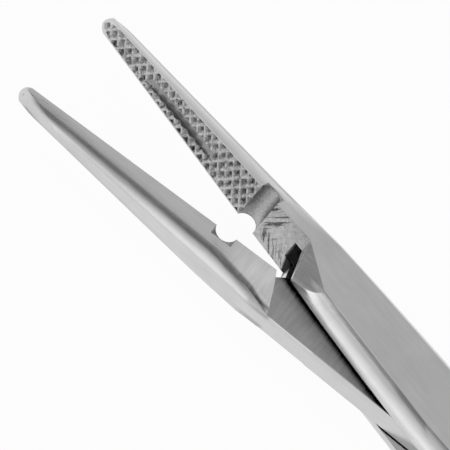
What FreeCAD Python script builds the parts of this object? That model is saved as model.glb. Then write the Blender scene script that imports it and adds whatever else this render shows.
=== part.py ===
import FreeCAD, Part
import math
import os
import re

import Sketcher

# Needle holder with a box lock: two forged halves that cross at a pivot pin.
# Millimetres. X runs from the pivot to the jaw tips, Z is the pivot axis, and the
# instrument lies on the plane Z = 0. Each half is drawn closed, about the middle of
# its own thickness, and is then turned about the pivot by the opening angle.

doc = FreeCAD.newDocument("needle_holder")
sheet = doc.addObject("Spreadsheet::Sheet", "Sizes")

sizes = {
    # lock
    "open_angle": 8.05,
    "lock_half": 2.6,
    "slot_half": 1.0,
    "slide_gap": 0.12,
    "side_gap": 0.1,
    "seat_gap": 0.06,
    "shoulder_in": 18.8,
    "shoulder_out": 17.0,
    "shoulder_wide": 3.38,
    "shoulder_crease": 2.3,
    "lock_far_x": 12,
    "lock_far_wide": 3.82,
    "lock_far_crease": 2.63,
    "lock_near_x": 6,
    "lock_near_wide": 4.2,
    "lock_near_crease": 2.91,
    "lock_wide": 4.4,
    "lock_crease": 3.15,
    "facet_turn": 60.3,
    "facet_fall": 0.705,
    "facet_run": 9,
    "mouth_front": 19.7,
    "mouth_wide": 2,
    "slot_open": 2.8,
    "web_wide": 3.35,
    "web_full_x": 12,
    "web_front_wide": 2.4,
    "web_nose_wide": 0.6,
    "overlap": 1,
    "beyond": 6,
    # pivot pin
    "pin_radius": 2.25,
    "pin_play": 0.04,
    # jaws
    "jaw_gap": 0.05,
    "bite_root": 25.15,
    "bite_length": 20,
    "flank_bow": 0.044,
    "back_bow": 0.104,
    "wall_bow": 0.129,
    "tip_half": 0.92,
    "tip_crease_in": 0.83,
    "tip_crease_up": 0.62,
    "tip_back": 1.17,
    "tip_back_up": 0.2,
    "tip_edge": 0.25,
    "tip_round": 1.3,
    "nose_long": 4.9,
    "nose_mid": 2,
    "root_half": 2.29,
    "root_crease_in": 2.02,
    "root_crease_up": 1.82,
    "root_back": 3.0,
    "root_back_up": 0.7,
    # serrations, thread groove and relief groove
    "tooth_pitch": 0.83,
    "tooth_depth": 0.3,
    "tooth_land": 0.08,
    "tooth_lean": 58,
    "tooth_shift": 0.2,
    "tooth_set": 0.5,
    "comb_wide": 18.3,
    "rim": 0.14,
    "tip_rim": 0.07,
    "field_nose": 0.43,
    "field_nose_half": 0.46,
    "thread_centre": 34.5,
    "thread_long": 4.7,
    "thread_low": 0.28,
    "thread_half": 0.5,
    "thread_floor": 0.44,
    "thread_depth": 0.5,
    "relief_radius": 1.03,
    "relief_depth": 0.95,
    # necks between jaw or shank and the lock
    "neck_x": 19.25,
    "web_neck_half": 2.55,
    "web_neck_in": 2.45,
    "web_neck_up": 1.66,
    "web_neck_back": 3.4,
    "web_neck_back_up": 0.8,
    "web_seat_in": 2.62,
    "web_seat_up": 1.4,
    # shanks
    "shank_near_x": 42,
    "shank_near_in": 1.3,
    "shank_near_thick": 3.9,
    "shank_near_half": 2.1,
    "shank_mid_x": 74,
    "shank_mid_in": 3.9,
    "shank_mid_thick": 3.8,
    "shank_mid_half": 1.95,
    "shank_end_x": 109,
    "shank_end_in": 6.9,
    "shank_end_thick": 3.6,
    "shank_end_half": 1.8,
    "shank_flat": 0.5,
    "shank_crown": 0.5,
    "shank_bow": 0.12,
    # finger rings
    "ring_x": 122,
    "ring_y": 15.2,
    "ring_round": 11.4,
    "ring_straight": 5.6,
    "ring_bar": 1.9,
    "ring_flat": 0.42,
    # ratchet
    "rack_x": 103,
    "rack_length": 5.5,
    "rack_reach": 5.2,
    "rack_root": 8.4,
    "rack_high": 1.9,
    "rack_gap": 0.08,
    "rack_pitch": 2.4,
    "rack_depth": 0.8,
    "rack_teeth": 3,
}

for row, (name, number) in enumerate(sizes.items(), start=1):
    sheet.set(f"A{row}", name)
    sheet.set(f"B{row}", str(number))
    sheet.setAlias(f"B{row}", name)
doc.recompute()

cell_name = re.compile(r"\b(" + "|".join(sorted(sizes, key=len, reverse=True)) + r")\b")


def cells(expression):
    """Writes an expression in the sheet's own names."""
    return cell_name.sub(r"Sizes.\1", str(expression))


def number(expression):
    result = sheet.evalExpression(cells(expression))
    return float(getattr(result, "Value", result))


def bind(target, prop, expression):
    target.setExpression(prop, cells(expression))


def plane(body, role):
    return next(f for f in body.Origin.OriginFeatures if f.Role == role)


def sketch_on(body, name, role, offset="0", turn=0):
    """A sketch on an origin plane, moved along the plane's normal by offset."""
    sketch = body.newObject("Sketcher::SketchObject", name)
    sketch.AttachmentSupport = [(plane(body, role), "")]
    sketch.MapMode = "FlatFace"
    sketch.AttachmentOffset = FreeCAD.Placement(
        FreeCAD.Vector(0, 0, 0), FreeCAD.Rotation(FreeCAD.Vector(1, 0, 0), turn))
    bind(sketch, "AttachmentOffset.Base.z", offset)
    return sketch


def fix_point(sketch, geometry, end, point):
    for kind, expression in zip(("DistanceX", "DistanceY"), point):
        index = sketch.addConstraint(
            Sketcher.Constraint(kind, geometry, end, number(expression)))
        bind(sketch, f"Constraints[{index}]", expression)


def draw(sketch, points):
    """A closed outline. A third item marks a point that an arc passes through."""
    corners = [i for i, p in enumerate(points) if len(p) == 2]
    pieces = []
    for this, following in zip(corners, corners[1:] + [corners[0] + len(points)]):
        start = points[this]
        end = points[following % len(points)]
        begin, finish = (FreeCAD.Vector(*map(number, p), 0) for p in (start, end))
        if following - this == 1:
            index = sketch.addGeometry(Part.LineSegment(begin, finish), False)
            pieces.append((index, 1, 2, start))
            continue
        via = points[(this + 1) % len(points)][:2]
        middle = FreeCAD.Vector(*map(number, via), 0)
        forward = (middle - begin).cross(finish - middle).z > 0
        ends = (begin, finish) if forward else (finish, begin)
        index = sketch.addGeometry(Part.Arc(ends[0], middle, ends[1]), False)
        pieces.append((index, 1, 2, start) if forward else (index, 2, 1, start))
        mark = sketch.addGeometry(Part.Point(middle), True)
        fix_point(sketch, mark, 1, via)
        sketch.addConstraint(Sketcher.Constraint("PointOnObject", mark, 1, index))
    for (index, first, last, start), (after, join, _, _) in zip(pieces, pieces[1:] + pieces[:1]):
        sketch.addConstraint(Sketcher.Constraint("Coincident", index, last, after, join))
        fix_point(sketch, index, first, start)


def feature(body, kind, name, profile, **settings):
    made = body.newObject("PartDesign::" + kind, name)
    made.Profile = profile
    for key, setting in settings.items():
        setattr(made, key, setting)
    return made


def slab(body, kind, name, profile, thickness):
    """A pad or pocket to both sides of its sketch."""
    made = feature(body, kind, name, profile, SideType="Symmetric")
    bind(made, "Length", thickness)
    return made


def times(sign, expression):
    return f"({sign})*({expression})"


def point_of(side, front, along, across):
    return (times(front, along), times(side, across))


def bulge(start, end, bow):
    """The point an arc passes through on its way from start to end."""
    return tuple(f"(({start[i]}) + ({end[i]}))/2 + ({bow})*(({one}) - ({other}))"
                 for i, one, other in ((0, start[1], end[1]), (1, end[0], start[0])))


def section_outline(side, inner, half, crease_in, crease_up, back, back_up, first_bow, second_bow):
    """A lens-like section: flat inner face, two crowned flanks and a straight back."""
    corner, crease, rear = (inner, half), (crease_in, crease_up), (back, back_up)
    upper = [corner, crease, rear]
    if second_bow:
        upper.insert(2, (*bulge(crease, rear, second_bow), "arc"))
    if first_bow:
        upper.insert(1, (*bulge(corner, crease, first_bow), "arc"))
    lower = [(p[0], f"-({p[1]})", *p[2:]) for p in reversed(upper)]
    return [(times(side, p[0]), *p[1:]) for p in upper + lower]


def loft(body, name, side, stations):
    """Joins sections across X. Each station is its X and the section's sizes."""
    sketches = []
    for index, (along, *section) in enumerate(stations):
        sketch = sketch_on(body, f"{name}_{index}", "YZ_Plane", along)
        draw(sketch, section_outline(side, *section))
        sketches.append(sketch)
    return feature(body, "AdditiveLoft", name, sketches[0], Sections=sketches[1:], Ruled=True)


def rearward(stations):
    return [(f"-({station[0]})", *station[1:]) for station in stations]


def both_ends(points):
    """The outline's points for the front, then the same points turned half round."""
    return [(times(turn, p[0]), times(turn, p[1])) for turn in (1, -1) for p in points]


def combine(body, kind, name, other):
    made = body.newObject("PartDesign::Boolean", name)
    made.setObjects([other])
    made.Type = kind


bite_mid = "bite_root - relief_radius"
tip_x = "bite_root + bite_length"
root_section = ("jaw_gap", "root_half", "root_crease_in", "root_crease_up", "root_back", "root_back_up",
                "flank_bow", "back_bow")
tip_section = ("jaw_gap", "tip_half", "tip_crease_in", "tip_crease_up", "tip_back", "tip_back_up",
               "flank_bow", "back_bow")


def jaw(body, side):
    """The gripping part: a tapered lens section with a rounded tip."""
    loft(body, "jaw", side, [(bite_mid, *root_section), (tip_x, *tip_section)])
    plan = sketch_on(body, "tip_plan", "XZ_Plane")
    far_x = f"{tip_x} + beyond"
    round_z = "tip_half + (root_half - tip_half)*tip_round/bite_length"
    draw(plan, [(f"{tip_x} - tip_round", round_z), (tip_x, "0", "arc"), (f"{tip_x} - tip_round", f"-({round_z})"),
                (f"{tip_x} - tip_round", "-beyond"), (far_x, "-beyond"), (far_x, "beyond"),
                (f"{tip_x} - tip_round", "beyond")])
    slab(body, "Pocket", "tip_plan_cut", plan, "2*beyond")
    back = sketch_on(body, "tip_back", "XY_Plane")

    def back_point(run):
        straight = f"tip_back + (root_back - tip_back)*({run})/bite_length"
        return (f"{tip_x} - ({run})", times(side, f"{straight} - (1 - ({run})/nose_long)^2*(tip_back - tip_edge)"))

    draw(back, [back_point("nose_long"), (*back_point("nose_mid"), "arc"), back_point("0"),
                (far_x, times(side, "tip_edge")), (far_x, times(side, "beyond")),
                (f"{tip_x} - nose_long", times(side, "beyond"))])
    slab(body, "Pocket", "tip_back_cut", back, "2*beyond")


def serrate(body, side):
    """Crossed rows of pits with flat lands between them, inside a smooth rim."""
    lean = math.radians(number("tooth_lean"))
    spread = number("bite_length")*math.sin(lean) + 2*number("root_half")*math.cos(lean)
    rows = math.ceil(spread/number("tooth_pitch")) + 1
    combs = []
    for name, turn in (("left", 1), ("right", -1)):
        comb = doc.addObject("PartDesign::Body", f"{body.Name}_{name}")
        profile = sketch_on(comb, f"{name}_profile", "YZ_Plane", "bite_root + bite_length/2 - tooth_set",
                            turn*number("tooth_lean"))
        outer, crest, floor = (times(side, level) for level in (
            "jaw_gap - overlap", "jaw_gap - tooth_land", "jaw_gap + tooth_depth"))

        def at(step):
            return f"({step} - {rows})*tooth_pitch/2 + ({turn})*tooth_shift"

        outline = [(outer, at(0)), (outer, at(2*rows))]
        for step in range(2*rows, -1, -1):
            outline.append((floor if step % 2 else crest, at(step)))
        draw(profile, outline)
        slab(comb, "Pad", f"{name}_teeth", profile, "comb_wide")
        combs.append(comb)
    field = doc.addObject("PartDesign::Body", f"{body.Name}_field")
    outline = sketch_on(field, "field_outline", "XZ_Plane")
    edge = [(bite_mid, "root_half - rim"), (f"{tip_x} - tip_round", "tip_half - tip_rim"),
            (f"{tip_x} - field_nose", "field_nose_half"), (f"{tip_x} - rim", "0")]
    draw(outline, edge + [(p[0], f"-({p[1]})") for p in reversed(edge[:-1])])
    slab(field, "Pad", "field_pad", outline, "2*beyond")
    combine(combs[0], "Common", "comb_in_rim", field)
    combine(combs[0], "Common", "pits", combs[1])
    combine(body, "Cut", "serrations", combs[0])


def add_axle(sketch, across):
    """The upright line that a profile is turned about, the sketch's first guide line."""
    foot = FreeCAD.Vector(number(across), -number("beyond"), 0)
    axle = sketch.addGeometry(Part.LineSegment(foot, FreeCAD.Vector(foot.x, number("beyond"), 0)), True)
    sketch.addConstraint(Sketcher.Constraint("Vertical", axle))
    fix_point(sketch, axle, 1, (across, "-beyond"))
    place = sketch.addConstraint(Sketcher.Constraint("DistanceY", axle, 1, axle, 2, number("2*beyond")))
    bind(sketch, f"Constraints[{place}]", "2*beyond")


def thread_groove(body, side):
    """The groove down the middle, as a flat-edged wheel leaves it."""
    wheel = sketch_on(body, "wheel", "YZ_Plane", "thread_centre")
    add_axle(wheel, times(side, "jaw_gap + thread_depth - (thread_long^2 + thread_depth^2)/(2*thread_depth)"))
    top, floor = times(side, "jaw_gap - thread_depth"), times(side, "jaw_gap + thread_depth")
    draw(wheel, [(top, "-thread_low - 2*thread_half + thread_floor"),
                 (top, "-thread_low + 2*thread_half - thread_floor"),
                 (floor, "-thread_low + thread_floor"), (floor, "-thread_low - thread_floor")])
    cut = feature(body, "Groove", "thread_cut", wheel)
    cut.ReferenceAxis = (wheel, ["Axis0"])
    cut.Angle = 360


def relief(body, side):
    """The round cross groove behind the serrations."""
    bar = sketch_on(body, "relief", "XY_Plane")
    middle = times(side, "jaw_gap + relief_depth - relief_radius")
    draw(bar, [("bite_root - 2*relief_radius", middle),
               (bite_mid, times(side, "jaw_gap + relief_depth"), "arc"),
               ("bite_root", middle),
               (bite_mid, times(side, "jaw_gap + relief_depth - 2*relief_radius"), "arc")])
    slab(body, "Pocket", "relief_cut", bar, "2*beyond")


def shank_station(place):
    inner, thick, half = (f"shank_{place}_{part}" for part in ("in", "thick", "half"))
    return (f"-shank_{place}_x", inner, f"{half}*shank_flat", f"{inner} + {thick}*shank_crown", half,
            f"{inner} + {thick}", f"{half}*shank_flat", "shank_bow", "shank_bow")


def bar_section(middle):
    """The ring's eight-sided bar."""
    corners = [("ring_bar", "ring_flat*lock_half"), ("ring_flat*ring_bar", "lock_half"),
               ("-ring_flat*ring_bar", "lock_half"), ("-ring_bar", "ring_flat*lock_half")]
    corners += [(p[0], f"-({p[1]})") for p in reversed(corners)]
    return [(f"({middle}) + ({p[0]})", p[1]) for p in corners]


def rear_shank(body, side):
    """From the lock back to the finger ring, on the side across from the jaw."""
    across = -side
    loft(body, "shank", across, rearward([(bite_mid, *root_section)])
         + [shank_station(place) for place in ("near", "mid", "end")])
    for end in (1, -1):
        bow = sketch_on(body, "ring_front" if end > 0 else "ring_back", "YZ_Plane",
                        f"-ring_x + {end}*ring_straight/2")
        add_axle(bow, times(across, "ring_y"))
        draw(bow, bar_section(times(across, "ring_y + ring_round")))
        turned = feature(body, "Revolution", f"{bow.Label}_turned", bow)
        turned.ReferenceAxis = (bow, ["Axis0"])
        turned.Angle = 180
        turned.Reversed = (end*across > 0)
    sides = sketch_on(body, "ring_sides", "YZ_Plane", "-ring_x")
    for out in (1, -1):
        draw(sides, bar_section(times(across, f"ring_y + {out}*ring_round")))
    slab(body, "Pad", "ring_sides_pad", sides, "ring_straight")


def rack(body, side):
    """The ratchet arm: slanted teeth on the face that meets the other arm."""
    across = -side
    up = -side
    arm = sketch_on(body, "rack", "YZ_Plane", "-rack_x - rack_length/2")
    teeth = round(number("rack_teeth"))
    outline = [(times(across, "rack_root"), times(up, "rack_high")),
               (times(across, "-rack_reach"), times(up, "rack_high"))]
    for tooth in range(teeth):
        edge = f"-rack_reach + {tooth}*rack_pitch"
        outline.append((times(across, edge), times(up, "rack_gap + rack_depth")))
        outline.append((times(across, f"{edge} + rack_pitch"), times(up, "rack_gap")))
    outline.append((times(across, f"-rack_reach + {teeth}*rack_pitch"), times(up, "rack_gap + rack_depth")))
    outline.append((times(across, "rack_root"), times(up, "rack_gap + rack_depth")))
    draw(arm, outline)
    slab(body, "Pad", "rack_arm", arm, "rack_length")


def pin_hole(body, radius):
    bore = sketch_on(body, "bore", "XY_Plane")
    circle = bore.addGeometry(Part.Circle(FreeCAD.Vector(0, 0, 0), FreeCAD.Vector(0, 0, 1), number(radius)), False)
    bore.addConstraint(Sketcher.Constraint("Coincident", circle, 3, -1, 1))
    place = bore.addConstraint(Sketcher.Constraint("Radius", circle, number(radius)))
    bind(bore, f"Constraints[{place}]", radius)
    slab(body, "Pocket", "bore_cut", bore, "2*beyond")


def new_half(name, label):
    body = doc.addObject("PartDesign::Body", name)
    body.Label = label
    return body


def box_station(along, crease, wide):
    return (along, "jaw_gap - overlap", "lock_half", crease, "lock_half", wide, "slot_half - side_gap",
            "", "wall_bow")


def grind_facet(body, name, front):
    """The leaning flat on the corner where the wall meets the shoulder."""
    facet = sketch_on(body, name, "XZ_Plane")
    turn = number("facet_turn") + (0 if front > 0 else 180)
    facet.AttachmentOffset = FreeCAD.Placement(
        FreeCAD.Vector(0, 0, 0), FreeCAD.Rotation(FreeCAD.Vector(0, 1, 0), turn))
    bind(facet, "AttachmentOffset.Base.x", times(front, "shoulder_in"))
    high = "lock_half + facet_fall*beyond/2"
    draw(facet, [("-beyond/2", high), ("beyond", "lock_half - facet_fall*beyond"), ("beyond", high)])
    cut = feature(body, "Pocket", name + "_cut", facet)
    bind(cut, "Length", "facet_run")


def box_half():
    """The half whose slotted lock encloses the other one."""
    side = -1
    body = new_half("BoxHalf", "box_half")
    wall = [box_station("shoulder_out", "shoulder_crease", "shoulder_wide"),
            box_station("lock_far_x", "lock_far_crease", "lock_far_wide"),
            box_station("lock_near_x", "lock_near_crease", "lock_near_wide"),
            box_station("0", "lock_crease", "lock_wide")]
    lead = box_station("shoulder_in", "shoulder_crease", "shoulder_wide")
    whole = wall + rearward(wall[-2::-1]) + rearward([lead])
    neck = [(bite_mid, *root_section), wall[0]]
    for front, name in ((1, "front"), (-1, "rear")):
        stations = whole if front > 0 else rearward(whole)
        loft(body, name + "_wall", front*side, stations)
        loft(body, name + "_neck", front*side, neck if front > 0 else rearward(neck))
    for front, name in ((1, "front"), (-1, "rear")):
        shoulder = sketch_on(body, name + "_shoulder", "XY_Plane")
        slant = "(shoulder_in - shoulder_out)/shoulder_wide"
        corners = [("shoulder_in", "0"), (f"shoulder_in - beyond*{slant}", "beyond"),
                   ("shoulder_in + beyond", "beyond"), ("shoulder_in + beyond", "0")]
        draw(shoulder, [point_of(front, front, *c) for c in corners])
        slab(body, "Pocket", name + "_shoulder_cut", shoulder, "2*beyond")
        grind_facet(body, name + "_facet", front)
    slot = sketch_on(body, "slot", "XY_Plane")
    edge = "web_wide + side_gap"
    draw(slot, both_ends([
        ("mouth_front", "mouth_wide"), ("mouth_front", "0"), ("shoulder_out", "-web_front_wide - side_gap"),
        ("web_full_x", f"-({edge})"), ("slot_open", f"-({edge})"), ("slot_open", "-lock_wide - beyond"),
        ("-mouth_front", "-lock_wide - beyond")]))
    slab(body, "Pocket", "slot_cut", slot, "2*slot_half")
    jaw(body, side)
    serrate(body, side)
    thread_groove(body, side)
    relief(body, side)
    rear_shank(body, side)
    rack(body, side)
    pin_hole(body, "pin_radius")
    return body


def tenon_half():
    """The half whose thinned web passes through the slot."""
    side = 1
    body = new_half("TenonHalf", "tenon_half")
    web = sketch_on(body, "web", "XY_Plane")
    draw(web, both_ends([
        ("shoulder_in - seat_gap", "overlap"), ("shoulder_in - seat_gap", "-web_nose_wide"),
        ("shoulder_out - seat_gap", "-web_front_wide"), ("web_full_x", "-web_wide"),
        ("-web_full_x", "-web_wide")]))
    slab(body, "Pad", "web_pad", web, "2*(slot_half - slide_gap)")
    jaw(body, side)
    seat = ("jaw_gap", "lock_half", "web_seat_in", "web_seat_up", "web_wide", "web_neck_back_up",
            "flank_bow", "back_bow")
    stations = [
        (bite_mid, *root_section),
        ("neck_x", "jaw_gap", "web_neck_half", "web_neck_in", "web_neck_up", "web_neck_back", "web_neck_back_up",
         "flank_bow", "back_bow"),
        ("shoulder_out", *seat),
        ("-web_full_x", *seat),
    ]
    loft(body, "neck", side, stations)
    loft(body, "heel", -side, rearward(stations))
    serrate(body, side)
    thread_groove(body, side)
    relief(body, side)
    for front, place in ((1, "front"), (-1, "rear")):
        for level, name in ((1, "over"), (-1, "under")):
            step = sketch_on(body, f"{place}_{name}", "XY_Plane",
                             times(level, "slot_half - slide_gap + lock_half"))
            slope = "(shoulder_in - shoulder_out)/shoulder_wide"
            corners = [(f"shoulder_in + seat_gap + overlap*{slope}", "-overlap"),
                       (f"shoulder_in + seat_gap - beyond*{slope}", "beyond"),
                       ("-web_full_x - overlap", "beyond"), ("-web_full_x - overlap", "-overlap")]
            draw(step, [point_of(front, front, *c) for c in corners])
            slab(body, "Pocket", f"{place}_{name}_cut", step, "2*lock_half")
    rear_shank(body, side)
    rack(body, side)
    pin_hole(body, "pin_radius + pin_play")
    return body


def pivot_pin():
    pin = doc.addObject("Part::Cylinder", "PivotPin")
    pin.Label = "pivot_pin"
    bind(pin, "Radius", "pin_radius")
    bind(pin, "Height", "2*lock_half")
    return pin


box = box_half()
tenon = tenon_half()
pin = pivot_pin()
for half, direction in ((box, -1), (tenon, 1)):
    half.Placement = FreeCAD.Placement(
        FreeCAD.Vector(0, 0, 0), FreeCAD.Rotation(FreeCAD.Vector(0, 0, 1), 0))
    bind(half, "Placement.Base.z", "lock_half")
    bind(half, "Placement.Rotation.Angle", times(direction, "open_angle"))
doc.recompute()

for item in doc.Objects:
    assert not {"Invalid", "Error"} & set(item.State), f"{item.Label} did not build"
os.makedirs("parts", exist_ok=True)
for piece in (box, tenon, pin):
    assert not piece.Shape.isNull() and piece.Shape.isValid(), f"{piece.Label} is not valid"
    assert len(piece.Shape.Solids) == 1, f"{piece.Label} is not one solid"
    piece.Shape.exportStep(f"parts/{piece.Label}.step")
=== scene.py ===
import math

import bpy
from mathutils import Matrix, Vector

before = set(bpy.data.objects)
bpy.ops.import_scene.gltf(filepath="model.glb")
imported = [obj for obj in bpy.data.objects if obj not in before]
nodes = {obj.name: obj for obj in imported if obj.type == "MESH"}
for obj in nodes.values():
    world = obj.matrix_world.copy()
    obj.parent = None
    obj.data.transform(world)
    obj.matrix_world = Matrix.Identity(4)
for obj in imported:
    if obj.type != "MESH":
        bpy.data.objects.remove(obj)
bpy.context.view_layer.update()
mm = 0.001
toMm = (1 / mm, 1 / mm, 1 / mm)
print("frame loaded:", ", ".join(sorted(nodes)))


# Shader sums are written as plain expressions on these signals

class Signal:
    def __init__(self, paint, socket):
        self.paint = paint
        self.socket = socket

    def maths(self, operation, *others):
        return self.paint.node("ShaderNodeMath", {"operation": operation}, [self, *others])

    def __add__(self, other):
        return self.maths("ADD", other)

    def __sub__(self, other):
        return self.maths("SUBTRACT", other)

    def __mul__(self, other):
        return self.maths("MULTIPLY", other)

    def __truediv__(self, other):
        return self.maths("DIVIDE", other)

    def __radd__(self, other):
        return self + other

    def __rmul__(self, other):
        return self * other

    def __rsub__(self, other):
        return self.maths("MULTIPLY_ADD", -1.0, other)


class Paint:
    def __init__(self, tree):
        self.tree = tree
        tree.nodes.clear()

    def node(self, kind, settings=None, inputs=(), output=0):
        made = self.tree.nodes.new(kind)
        for key, value in (settings or {}).items():
            setattr(made, key, value)
        named = inputs.items() if isinstance(inputs, dict) else enumerate(inputs)
        for key, value in named:
            if isinstance(value, Signal):
                self.tree.links.new(value.socket, made.inputs[key])
            else:
                made.inputs[key].default_value = value
        return Signal(self, made.outputs[output]) if made.outputs else None

    # 0 below low, 1 above high, and a soft rise between them
    def rise(self, signal, low, high):
        ends = [signal, low, high, 0.0, 1.0] if low < high else [signal, high, low, 1.0, 0.0]
        return self.node("ShaderNodeMapRange", {"interpolation_type": "SMOOTHSTEP"}, ends)

    def grain(self, place, stretch, scale, detail=3.0):
        stretched = self.node("ShaderNodeVectorMath", {"operation": "MULTIPLY"}, [place, stretch])
        settings = {"Vector": stretched, "Scale": scale, "Detail": detail, "Roughness": 0.6}
        return self.node("ShaderNodeTexNoise", {"noise_dimensions": "3D"}, settings)

    # grey levels that follow a signal from 0 to 1, through (place, level) stops
    def ramp(self, signal, stops):
        made = self.tree.nodes.new("ShaderNodeValToRGB")
        points = made.color_ramp.elements
        for place, level in stops[1:-1]:
            points.new(place)
        for point, (place, level) in zip(points, stops):
            point.position = place
            point.color = (level, level, level, 1)
        self.tree.links.new(signal.socket, made.inputs[0])
        return Signal(self, made.outputs[0])

    def grey(self, level):
        return self.node("ShaderNodeCombineColor", None, [level, level, level])

    def split(self, vector):
        parts = []
        for output in range(3):
            parts.append(self.node("ShaderNodeSeparateXYZ", None, [vector], output))
        return parts


# Camera: the photograph's angle, found from the jaws' edges and the slot

camera = {
    "place": (-53.456, 715.831, 722.013),
    "right": (-0.70673, -0.53864, 0.45869),
    "down": (-0.70330, 0.46452, -0.53814),
    "lens": 960.0,
    "sensor": 36.0,
    "clip": (0.05, 50.0),
}


def setCamera():
    right = Vector(camera["right"]).normalized()
    up = -Vector(camera["down"]).normalized()
    back = right.cross(up).normalized()
    up = back.cross(right)
    turned = Matrix((right, up, back)).transposed().to_4x4()
    data = bpy.data.cameras.new("photoCamera")
    data.lens = camera["lens"]
    data.sensor_width = camera["sensor"]
    data.clip_start, data.clip_end = camera["clip"]
    made = bpy.data.objects.new("photoCamera", data)
    bpy.context.collection.objects.link(made)
    made.matrix_world = Matrix.Translation(Vector(camera["place"]) * mm) @ turned
    bpy.context.scene.camera = made


setCamera()
print("camera set")


# Studio: white floor, pale walls, and a dark strip in the light tent just past overhead

studio = {
    "floorSize": 6.0,
    "floorDrop": 0.01 * mm,
    "floorWhite": 0.9,
    "floorShown": 0.95,
    # angle from straight up, in degrees toward +Y, and how bright the room is there
    "room": [(-180, 1.0), (-95, 1.15), (-80, 0.85), (-67, 0.62), (-55, 0.56), (-42, 0.63),
             (-22, 0.68), (-6, 0.66), (5, 0.32), (11, 0.14), (19, 0.15), (27, 0.58), (34, 0.75),
             (48, 0.9), (75, 1.05), (90, 1.25), (180, 1.0)],
    "lamps": {
        # place in metres, size, power in watts
        "keyLamp": ((0.15, 1.25, 0.25), 0.9, 0.5),
        "fillLamp": ((0.3, -1.2, 0.3), 0.9, 0.3),
    },
}


# 1 where one of the named kinds of ray arrives
def seenBy(paint, *rays):
    masks = [paint.node("ShaderNodeLightPath", output=ray) for ray in rays]
    seen = masks[0]
    for mask in masks[1:]:
        seen = seen.maths("MAXIMUM", mask)
    return seen


def makeFloor():
    bpy.ops.object.select_all(action="DESELECT")
    bpy.ops.mesh.primitive_plane_add(size=studio["floorSize"], location=(0, 0, -studio["floorDrop"]))
    floor = bpy.context.object
    floor.name = "floor"
    material = bpy.data.materials.new("floorPaper")
    material.use_nodes = True
    paint = Paint(material.node_tree)
    white = studio["floorWhite"]
    paper = paint.node("ShaderNodeBsdfDiffuse", None, {"Color": (white, white, white, 1)})
    shine = paint.node("ShaderNodeEmission", None, {"Color": (1, 1, 1, 1), "Strength": 1.0})
    shown = seenBy(paint, "Is Camera Ray", "Is Glossy Ray", "Is Transmission Ray")
    mixed = paint.node("ShaderNodeMixShader", None, [shown * studio["floorShown"], paper, shine])
    paint.node("ShaderNodeOutputMaterial", None, [mixed])
    floor.data.materials.append(material)


def makeRoom():
    world = bpy.data.worlds.new("studioRoom")
    bpy.context.scene.world = world
    world.use_nodes = True
    paint = Paint(world.node_tree)
    toward = paint.node("ShaderNodeTexCoord", output="Generated")
    _, side, height = paint.split(toward)
    lean = side.maths("ARCTAN2", height) / (2 * math.pi) + 0.5
    stops = [(angle / 360 + 0.5, level) for angle, level in studio["room"]]
    sky = paint.node("ShaderNodeBackground", None, [paint.ramp(lean, stops), 1.0])
    white = paint.node("ShaderNodeBackground", None, [(1, 1, 1, 1), 1.0])
    shown = seenBy(paint, "Is Camera Ray", "Is Transmission Ray")
    mixed = paint.node("ShaderNodeMixShader", None, [shown, sky, white])
    paint.node("ShaderNodeOutputWorld", None, [mixed])


def makeLamps():
    for name, (place, size, power) in studio["lamps"].items():
        data = bpy.data.lights.new(name, "AREA")
        data.size = size
        data.energy = power
        lamp = bpy.data.objects.new(name, data)
        bpy.context.collection.objects.link(lamp)
        aim = Vector(place).to_track_quat("Z", "Y")
        lamp.matrix_world = Matrix.Translation(Vector(place)) @ aim.to_matrix().to_4x4()


makeFloor()
makeRoom()
makeLamps()
print("studio ready")


# Satin steel of the two halves. Lengths are in mm along each half as it lies closed:
# x from the pivot to the tips, y into its own jaw, z from mid thickness.
# A pair of lengths is where a soft mask is 0 and where it is 1.

steel = {
    "openAngle": 8.05,
    "lockHalf": 2.6,
    "tone": 0.62,
    "streakTone": 0.08,
    "cloudTone": 0.14,
    "gloss": 0.24,
    "streakGloss": 0.14,
    "lineBump": 0.6,
    "fineBump": 0.4,
    "bumpStrength": 0.3,
    "bumpDeep": 0.04,
    # level of the biting faces, their half height at the round groove, and its fall to the tips
    "biteTop": 0.05,
    "biteHalf": 2.29,
    "biteFall": 0.0651,
    "insideEdge": (-0.06, -0.12),
    "grooveMiddle": 24.12,
    "offWeb": (0.3, 0.7),
    # rounding of the edges: lock and bite, then jaws, then shanks and rings
    "crispEdge": 0.06,
    "jawEdge": 0.4,
    "jawEdgeFrom": (19.2, 21.5),
    "jawEdgeDeep": (0.4, 0.7),
    "barEdge": 1.1,
    "barEdgeFrom": (-20.0, -26.0),
}

# stretch along x, y and z, then scale and detail
grains = {
    "lines": ((0.05, 5.0, 5.0), 1.0, 4.0),
    "bands": ((0.03, 0.8, 0.8), 1.0, 2.0),
    "cloud": ((0.3, 0.6, 0.6), 1.0, 4.0),
    "fine": ((0.4, 14.0, 14.0), 1.0, 2.0),
    "speck": ((1.0, 1.0, 1.0), 9.0, 3.0),
    "wear": ((1.0, 1.0, 1.0), 2.6, 4.0),
    "scar": ((1.0, 1.0, 1.0), 4.0, 2.0),
    "ground": ((3.0, 0.4, 0.4), 1.0, 4.0),
    "filed": ((3.2, 0.3, 0.3), 1.0, 4.0),
    "cuts": ((0.4, 0.4, 3.6), 1.0, 3.0),
}


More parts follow.
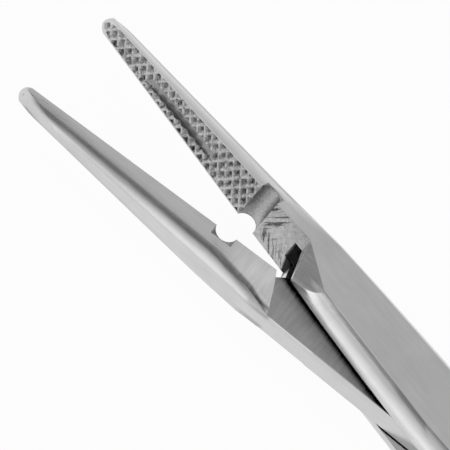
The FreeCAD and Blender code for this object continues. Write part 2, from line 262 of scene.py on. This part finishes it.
# One half's surface: where a point lies on it, and its finish as the features build it up
class Surface:
    def __init__(self, name, side):
        self.material = bpy.data.materials.new(name)
        self.material.use_nodes = True
        self.paint = Paint(self.material.node_tree)
        self.side = side
        turn = -side * math.radians(steel["openAngle"])
        place = self.paint.node("ShaderNodeTexCoord", output="Object")
        self.place = self.paint.node("ShaderNodeMapping", None, {
            "Vector": place, "Location": (0, 0, -steel["lockHalf"]), "Rotation": (0, 0, turn),
            "Scale": toMm})
        self.along, across, self.height = self.paint.split(self.place)
        self.inward = across * side
        self.size = self.height.maths("ABSOLUTE")
        self.fromGroove = self.along - steel["grooveMiddle"]
        fall = self.size - steel["biteHalf"] + steel["biteFall"] * self.fromGroove
        self.insideEdge = self.paint.rise(fall, *steel["insideEdge"])
        self.kept = {}
        lines, bands, cloud = self.grain("lines"), self.grain("bands"), self.grain("cloud")
        streak = steel["streakTone"]
        self.tone = steel["tone"] + streak * (lines - 0.5) + streak * (bands - 0.5)
        self.tone = self.tone + steel["cloudTone"] * (cloud - 0.5)
        self.rough = steel["gloss"] + steel["streakGloss"] * (lines - 0.5)
        self.bump = steel["lineBump"] * lines + steel["fineBump"] * self.grain("fine")

    def grain(self, name):
        if name not in self.kept:
            stretch, scale, detail = grains[name]
            self.kept[name] = self.paint.grain(self.place, stretch, scale, detail)
        return self.kept[name]

    def rise(self, signal, ends, base=0.0):
        return self.paint.rise(signal, base + ends[0], base + ends[1])

    # mask of the depth behind the biting face
    def deep(self, ends):
        return self.rise(self.inward, ends, steel["biteTop"])

    def cover(self, mask, tone, rough):
        self.tone = self.tone + mask * (tone - self.tone)
        self.rough = self.rough + mask * (rough - self.rough)

    def finish(self):
        paint = self.paint
        edges = paint.node("ShaderNodeBevel", {"samples": 4}, [steel["crispEdge"] * mm])
        jaws = self.rise(self.along, steel["jawEdgeFrom"]) * self.deep(steel["jawEdgeDeep"])
        bars = self.rise(self.along, steel["barEdgeFrom"])
        for mask, reach in ((jaws, steel["jawEdge"]), (bars, steel["barEdge"])):
            rounded = paint.node("ShaderNodeBevel", {"samples": 6}, [reach * mm])
            # factor and the two vectors of the Mix node, and its vector result
            inputs = {0: mask, 4: edges, 5: rounded}
            edges = paint.node("ShaderNodeMix", {"data_type": "VECTOR"}, inputs, 1)
        lift = paint.node("ShaderNodeBump", None, {
            "Strength": steel["bumpStrength"], "Distance": steel["bumpDeep"] * mm,
            "Height": self.bump, "Normal": edges})
        metal = paint.node("ShaderNodeBsdfPrincipled", None, {
            "Base Color": paint.grey(self.tone), "Roughness": self.rough, "Metallic": 1.0,
            "Normal": lift})
        paint.node("ShaderNodeOutputMaterial", None, [metal])
        return self.material


# Crease between a jaw's flank and its back: softened outward, with a painted shade line along it
crease = {
    # depth at the round groove, and its fall toward the tips
    "depth": 2.02,
    "fall": 0.0566,
    # toward the lock it bends outward, and the painted shade line less so
    "bendFrom": 23.4,
    "bend": 0.15,
    "shadeBend": 0.07,
    "shadeEnd": 17.2,
    "shadeEndBend": 0.1,
    "jaw": (18.6, 19.2),
    "soft": (-0.05, 0.5),
    "softBump": 4.0,
    # how far the painted shade line darkens the steel, and more on the filed flank
    "dull": 0.2,
    "shadeFiled": 0.3,
    "shadeInner": (-0.3, 0.0),
    "shadeOuter": (1.0, 0.25),
    "boxFrom": (18.6, 19.2),
    "tenonFrom": (16.4, 17.0),
}


def softenCrease(half):
    half.toLock = (crease["bendFrom"] - half.along).maths("MAXIMUM", 0.0)
    straight = half.inward - crease["depth"] + crease["fall"] * half.fromGroove
    half.pastCrease = straight - crease["bend"] * half.toLock
    half.offWeb = half.rise(half.size, steel["offWeb"])
    onJaw = half.rise(half.along, crease["jaw"]) * half.offWeb
    half.bump = half.bump + crease["softBump"] * half.rise(half.pastCrease, crease["soft"]) * onJaw


# painted shade: a dark line along the crease, darker still on the filed flank
def shadeCrease(half, filed):
    bend = crease["shadeEndBend"] * (half.along - crease["shadeEnd"])
    near = half.pastCrease + (crease["shadeBend"] * half.toLock).maths("MINIMUM", bend)
    dull = half.rise(near, crease["shadeInner"]) * half.rise(near, crease["shadeOuter"])
    start = crease["tenonFrom"] if half.side > 0 else crease["boxFrom"]
    dull = dull * half.rise(half.along, start) * half.offWeb
    half.tone = half.tone - dull * (crease["dull"] + crease["shadeFiled"] * filed)


# Web of the tenon half: ground and darker, with painted shade at both ends beside the other half's
# wall, which sweeps over it
web = {
    "top": (0.94, 0.9),
    "long": (18.95, 18.8),
    "wide": (3.3, 3.2),
    # the wall's line on the web at rest: a point on it, its slope and the slope's cosine
    "start": (17.08, -1.41),
    "slope": 0.36,
    "square": 0.94,
    "hidden": (-1.3, -0.3),
    # at the rear the painted shade reaches further
    "rear": (0.0, -5.0),
    "rearReach": 1.6,
    "wallShade": (2.6, 0.3),
    "wallShadeTone": 0.13,
    "corner": (0.9, 0.05),
    "cornerTone": 0.29,
    "tone": 0.4,
    "fineTone": 0.1,
    "groundTone": 0.2,
    "dull": 0.1,
}


def groundWebWithShade(half):
    end = half.along.maths("SIGN")
    out, over = half.along * end, half.inward * end
    onWeb = half.rise(half.size, web["top"]) * half.rise(out, web["long"])
    onWeb = onWeb * half.rise(half.inward.maths("ABSOLUTE"), web["wide"])
    startX, startY = web["start"]
    away = (over - startY - web["slope"] * (startX - out)) * web["square"]
    clearOfWall = half.rise(away, web["hidden"])
    away = away / (1.0 + web["rearReach"] * half.rise(half.along, web["rear"]))
    wallShade = half.rise(away, web["wallShade"]) * clearOfWall
    corner = half.rise(away, web["corner"]) * clearOfWall
    tone = web["tone"] + web["fineTone"] * (half.grain("fine") - 0.5)
    tone = tone + web["groundTone"] * (half.grain("ground") - 0.5)
    # painted shade: darker near the other half's wall, darkest in the corner against it
    tone = tone - web["wallShadeTone"] * wallShade - web["cornerTone"] * corner
    half.tone = half.tone + onWeb * (tone - half.tone)
    half.rough = half.rough + onWeb * web["dull"]


# Flank of the tenon's jaw by the lock: filed across, lifted lighter by a painted highlight, and
# leaning up
flank = {
    "front": (24.0, 20.5),
    "rear": (16.4, 16.8),
    "inner": (0.1, -0.1),
    "offWeb": (0.92, 0.98),
    "tone": 0.75,
    "lineTone": 0.4,
    "lineBump": 1.5,
    "leanBump": 18.0,
}


def fileAndLightFlank(half):
    filed = half.rise(half.along, flank["front"]) * half.rise(half.along, flank["rear"])
    filed = filed * half.rise(half.pastCrease, flank["inner"]) * half.rise(half.size, flank["offWeb"])
    lines = half.grain("filed")
    # painted highlight: the filed flank set to a lighter tone, with its real file lines on it
    half.tone = half.tone + filed * (flank["tone"] + flank["lineTone"] * (lines - 0.5) - half.tone)
    lean = flank["leanBump"] * half.pastCrease.maths("MINIMUM", 0.0)
    half.bump = half.bump + filed * (flank["lineBump"] * lines + lean)
    return filed


# Wall of the lock: a painted highlight along its crease with the flat top, and lighter at its front
wall = {
    "start": (16.6, -2.58),
    "slope": 0.052,
    "crestHighlight": (0.35, 0.1),
    "crestHighlightHigh": (2.0, 2.2),
    "crestHighlightFront": (17.0, 16.0),
    "crestHighlightRear": (3.0, 5.0),
    "crestHighlightTone": 0.3,
    "frontLift": (12.0, 16.0),
    "frontLiftOut": (-2.9, -3.2),
    "frontLiftHigh": (0.95, 1.05),
    "frontLiftTone": 0.15,
}


def lightWall(half):
    startX, startY = wall["start"]
    off = (half.inward - startY + wall["slope"] * (startX - half.along)).maths("ABSOLUTE")
    crestHighlight = half.rise(off, wall["crestHighlight"]) * half.rise(half.size, wall["crestHighlightHigh"])
    ends = half.rise(half.along, wall["crestHighlightFront"]) * half.rise(half.along, wall["crestHighlightRear"])
    frontLift = half.rise(half.along, wall["frontLift"]) * half.rise(half.inward, wall["frontLiftOut"])
    frontLift = frontLift * half.rise(half.size, wall["frontLiftHigh"])
    # painted highlight along the crease, and a lighter tone at the wall's front
    half.tone = half.tone + wall["crestHighlightTone"] * crestHighlight * ends + wall["frontLiftTone"] * frontLift


# Biting face: dull lands, painted shade deeper in its pits, ragged by use, with coarse cuts in the
# two directions of the serrations
bite = {
    "root": 25.15,
    "rootEnd": (-0.1, 0.05),
    # the tip end is round: it lies lower by this share of the height squared
    "tipEnd": (19.72, 19.6),
    "tipRound": 1.55,
    "deep": (0.4, 0.32),
    "pitShade": (0.02, 0.3),
    "scar": (0.46, 0.38),
    "toothLean": 58,
    "cut": (0.5, 0.4),
    "tone": 0.52,
    "pitShadeTone": 0.22,
    "wearTone": 0.6,
    "speckTone": 0.3,
    "scarTone": 0.2,
    "cutTone": 0.1,
    "scarBump": 1.5,
    "rough": 0.38,
}


def crossCuts(half):
    cuts = []
    for lean in (bite["toothLean"], -bite["toothLean"]):
        turned = half.paint.node("ShaderNodeMapping", {"vector_type": "TEXTURE"}, {
            "Vector": half.place, "Rotation": (0, -math.radians(lean), 0)})
        cuts.append(half.rise(half.paint.grain(turned, *grains["cuts"]), bite["cut"]))
    return cuts


def wearAndShadeBite(half, cuts):
    tip = half.along + bite["tipRound"] * half.size * half.size
    onBite = half.deep(bite["deep"]) * half.rise(half.along, bite["rootEnd"], bite["root"])
    onBite = onBite * half.insideEdge * half.rise(tip, bite["tipEnd"], bite["root"])
    scar = half.rise(half.grain("scar"), bite["scar"])
    # painted shade: darker the deeper into the pits
    tone = bite["tone"] - bite["pitShadeTone"] * half.deep(bite["pitShade"])
    tone = tone + bite["wearTone"] * (half.grain("wear") - 0.5)
    tone = tone + bite["speckTone"] * (half.grain("speck") - 0.5)
    tone = tone - bite["scarTone"] * scar - bite["cutTone"] * (cuts[0] + cuts[1])
    half.cover(onBite, tone, bite["rough"])
    half.bump = half.bump + onBite * (half.grain("speck") - bite["scarBump"] * scar)


# Lengthwise groove for the thread: painted shade on its floor between steep walls
thread = {
    "middle": 34.5,
    "long": (4.7, 4.3),
    "low": 0.28,
    "wide": (0.54, 0.46),
    "deep": (0.02, 0.06),
    "floor": (0.7, 0.6),
    "tone": 0.3,
    "lineTone": 0.2,
    "rough": 0.34,
}


def shadeThread(half):
    run = (half.along - thread["middle"]).maths("ABSOLUTE")
    off = (half.height + thread["low"]).maths("ABSOLUTE")
    inThread = half.rise(run, thread["long"]) * half.rise(off, thread["wide"])
    inThread = inThread * half.deep(thread["deep"]) * half.deep(thread["floor"])
    # painted shade: the groove floor set dark
    tone = thread["tone"] + thread["lineTone"] * (half.grain("lines") - 0.5)
    half.cover(inThread, tone, thread["rough"])


# Round groove behind the serrations: blasted and speckled, with painted shade, darker toward its
# walls
groove = {
    "wide": (1.08, 1.0),
    "floor": (1.06, 1.0),
    "deep": (0.02, 0.1),
    "tone": 0.45,
    "front": (-0.2, 0.8),
    "frontShadeTone": 0.2,
    "rear": (-0.6, -0.9),
    "rearShadeTone": 0.12,
    "speckTone": 0.8,
    "rough": 0.4,
}


def blastAndShadeGroove(half):
    inGroove = half.rise(half.fromGroove.maths("ABSOLUTE"), groove["wide"])
    inGroove = inGroove * half.rise(half.inward, groove["floor"]) * half.deep(groove["deep"])
    # painted shade: the groove set darker, and darker still toward its front and rear walls
    tone = groove["tone"] - groove["frontShadeTone"] * half.rise(half.fromGroove, groove["front"])
    tone = tone - groove["rearShadeTone"] * half.rise(half.fromGroove, groove["rear"])
    tone = tone + groove["speckTone"] * (half.grain("speck") - 0.5)
    half.cover(inGroove, tone, groove["rough"])
    half.bump = half.bump + inGroove * half.grain("speck")


# Neck behind it: file marks, one way near the groove and the other way along the lower
# edge, and painted shade, near black, at the mouth of the slot
neck = {
    "deep": (0.12, 0.06),
    "rear": (18.35, 18.6),
    "front": (-0.8, -1.0),
    "faint": 0.15,
    "strong": 0.85,
    "firstLow": (-0.3, -0.9),
    "otherHigh": (-1.1, -0.5),
    "otherFront": (20.8, 21.6),
    "mouthLean": 0.29,
    "mouthShade": (19.95, 19.7),
    "mouthLow": (-0.6, -1.0),
    "mouthShadeLevel": 0.95,
    "tone": 0.5,
    "speckTone": 0.4,
    "wearTone": 0.4,
    "markTone": 0.36,
    "markBump": 2.0,
    "rough": 0.38,
}


def fileNeck(half, cuts):
    faint, strong = neck["faint"], neck["strong"]
    high = half.rise(half.height, neck["otherHigh"]) * half.rise(half.along, neck["otherFront"])
    marks = cuts[0] * (faint + strong * half.rise(half.height, neck["firstLow"]))
    marks = marks + cuts[1] * (faint + strong * high)
    mouthShade = half.rise(half.along - neck["mouthLean"] * half.height, neck["mouthShade"])
    mouthShade = mouthShade * half.rise(half.height, neck["mouthLow"])
    tone = neck["tone"] + neck["speckTone"] * (half.grain("speck") - 0.5)
    tone = tone + neck["wearTone"] * (half.grain("wear") - 0.5) - neck["markTone"] * marks
    # painted shade: near black at the slot's mouth
    tone = tone - mouthShade * tone * neck["mouthShadeLevel"]
    onNeck = half.deep(neck["deep"]) * half.rise(half.along, neck["rear"])
    onNeck = onNeck * half.rise(half.fromGroove, neck["front"]) * half.insideEdge
    half.cover(onNeck, tone, neck["rough"])
    half.bump = half.bump + onNeck * (half.grain("speck") - neck["markBump"] * marks)


def halfSteel(name, side):
    half = Surface(name, side)
    filed = 0.0
    softenCrease(half)
    if side > 0:
        groundWebWithShade(half)
        filed = fileAndLightFlank(half)
    shadeCrease(half, filed)
    if side < 0:
        lightWall(half)
    cuts = crossCuts(half)
    wearAndShadeBite(half, cuts)
    shadeThread(half)
    blastAndShadeGroove(half)
    fileNeck(half, cuts)
    return half.finish()


# Pin: ground flush with the lock
pin = {
    "grain": ((0.08, 6.0, 1.0), 1.0, 4.0),
    "tone": 0.62,
    "streakTone": 0.08,
    "gloss": 0.24,
    "streakGloss": 0.14,
    "bumpStrength": 0.2,
    "bumpDeep": 0.03,
}


def pinSteel():
    material = bpy.data.materials.new("pinSteel")
    material.use_nodes = True
    paint = Paint(material.node_tree)
    place = paint.node("ShaderNodeTexCoord", output="Object")
    place = paint.node("ShaderNodeMapping", None, {"Vector": place, "Scale": toMm})
    lines = paint.grain(place, *pin["grain"])
    lift = paint.node("ShaderNodeBump", None, {
        "Strength": pin["bumpStrength"], "Distance": pin["bumpDeep"] * mm, "Height": lines})
    tone = pin["tone"] + pin["streakTone"] * (lines - 0.5)
    rough = pin["gloss"] + pin["streakGloss"] * (lines - 0.5)
    metal = paint.node("ShaderNodeBsdfPrincipled", None, {
        "Base Color": paint.grey(tone), "Roughness": rough, "Metallic": 1.0, "Normal": lift})
    paint.node("ShaderNodeOutputMaterial", None, [metal])
    return material


def dress(node, material):
    for slot in nodes[node].material_slots:
        slot.material = material


dress("box_half", halfSteel("boxSteel", -1))
dress("tenon_half", halfSteel("tenonSteel", 1))
dress("pivot_pin", pinSteel())
print("steel finished")

bpy.context.scene.view_settings.view_transform = "Standard"
